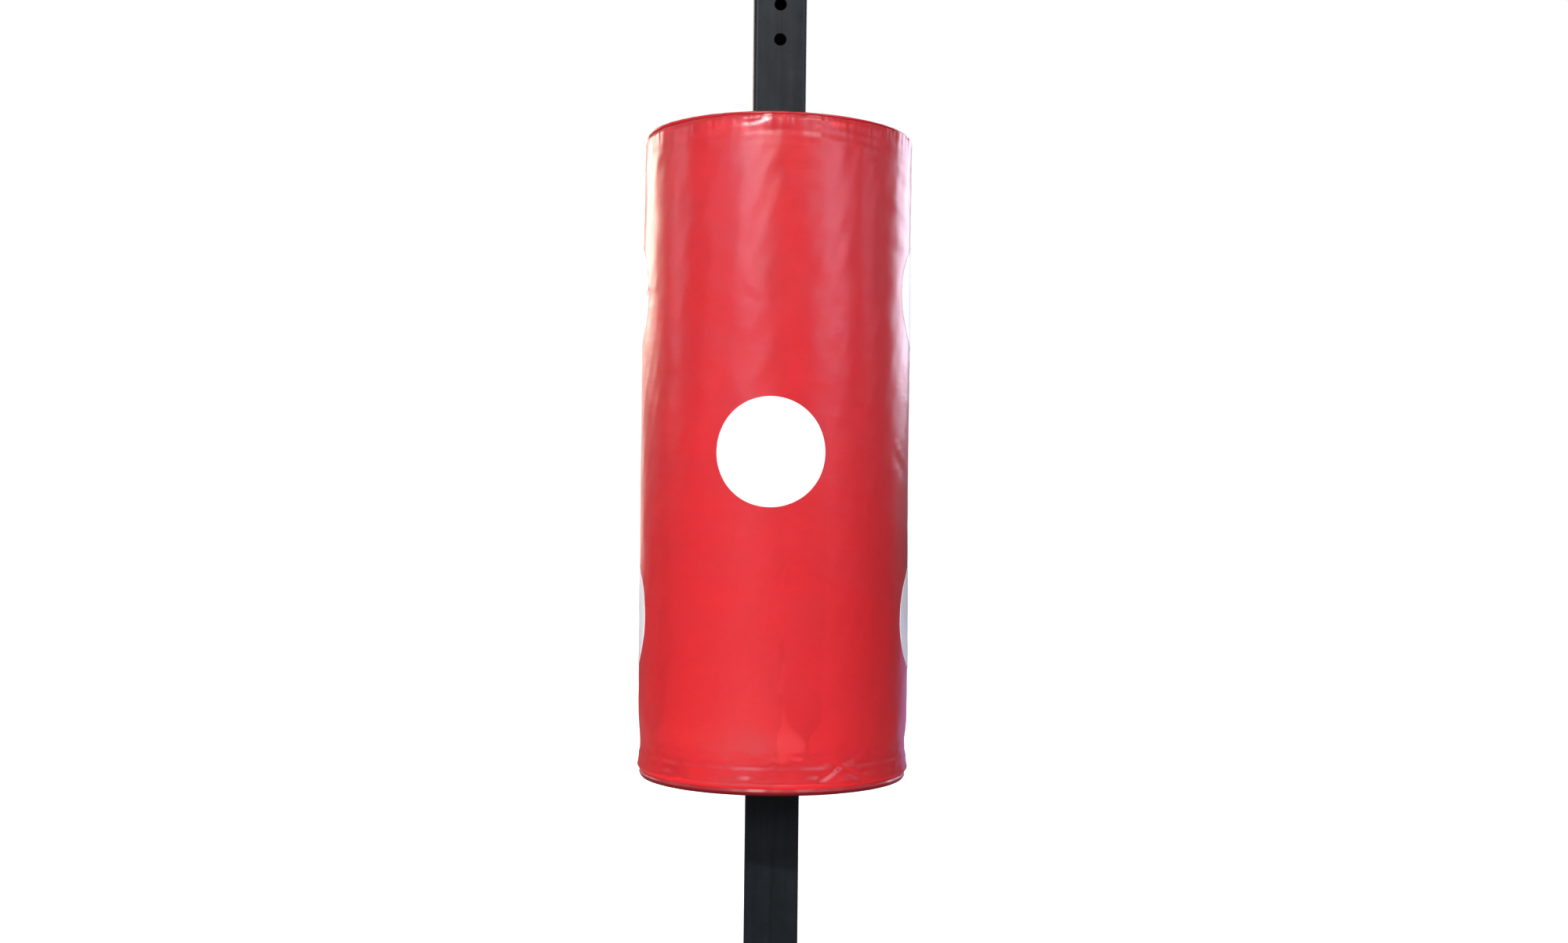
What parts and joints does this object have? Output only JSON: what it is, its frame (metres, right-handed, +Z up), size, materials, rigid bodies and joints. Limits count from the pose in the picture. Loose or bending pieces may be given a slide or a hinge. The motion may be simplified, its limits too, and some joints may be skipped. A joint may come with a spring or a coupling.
{
  "type": "padded striking post",
  "caption": "Vinyl-covered padded cylinder with round striking targets, turning and height-adjustable on a square steel post with a bolt-down base plate.",
  "frame": {"origin": "centre of the base plate's underside, on the floor", "axes": "+Z up the post, +Y towards the pad's front, -Y towards its back, +X to the right seen from the back"},
  "size_m": [0.3824, 0.3824, 1.5104],
  "materials": {
    "post_paint": "satin",
    "cap_plastic": "matte",
    "collar_aluminium": "satin",
    "screw_steel": "satin",
    "bearing_plastic": "matte",
    "core_plastic": "matte",
    "plywood": "matte",
    "firm_foam": "matte",
    "soft_foam": "matte",
    "red_vinyl": "satin",
    "white_vinyl": "satin",
    "eyelet_brass": "polished",
    "zip_tape": "matte",
    "zip_plastic": "satin",
    "zip_metal": "satin"
  },
  "bodies": {
    "post": {"post_tube": "post_paint", "base_plate": "post_paint", "gusset_right": "post_paint", "gusset_front": "post_paint", "gusset_left": "post_paint", "gusset_back": "post_paint", "post_cap": "cap_plastic"},
    "carriage": {"lower_collar_front_half": "collar_aluminium", "lower_collar_back_half": "collar_aluminium", "lower_collar_screws": "screw_steel", "upper_collar_front_half": "collar_aluminium", "upper_collar_back_half": "collar_aluminium", "upper_collar_screws": "screw_steel", "lower_bearing": "bearing_plastic", "upper_bearing": "bearing_plastic"},
    "pad": {"core_tube": "core_plastic", "bottom_end_plate": "plywood", "top_end_plate": "plywood", "inner_foam": "firm_foam", "outer_foam": "soft_foam", "side_cover": "red_vinyl", "top_cover": "red_vinyl", "bottom_cover": "red_vinyl", "top_piping": "red_vinyl", "target_back": "white_vinyl", "target_front": "white_vinyl", "target_left_upper": "white_vinyl", "target_left_lower": "white_vinyl", "target_right_upper": "white_vinyl", "target_right_lower": "white_vinyl", "vent_eyelets": "eyelet_brass", "zip_tape": "zip_tape", "zip_teeth": "zip_plastic"},
    "zip_slider": {"zip_slider": "zip_metal"},
    "zip_pull": {"zip_pull": "zip_metal"}
  },
  "joints": [
    {"name": "height_adjust", "type": "slide", "parent": "post", "child": "carriage", "axis": [0, 0, 1], "range_m": [-0.24, 0.2]},
    {"name": "pad_spin", "type": "hinge", "parent": "carriage", "child": "pad", "pos_m": [0, 0, 0.8172], "axis": [0, 0, 1], "continuous": true},
    {"name": "zip_run", "type": "hinge", "parent": "pad", "child": "zip_slider", "pos_m": [0, 0, 0.36], "axis": [0, 0, 1], "range_deg": [0, 230]},
    {"name": "pull_swing", "type": "hinge", "parent": "zip_slider", "child": "zip_pull", "pos_m": [0.08144, 0.13598, 0.356], "axis": [0.5138, 0.8579, 0], "range_deg": [-85, 85]}
  ]
}
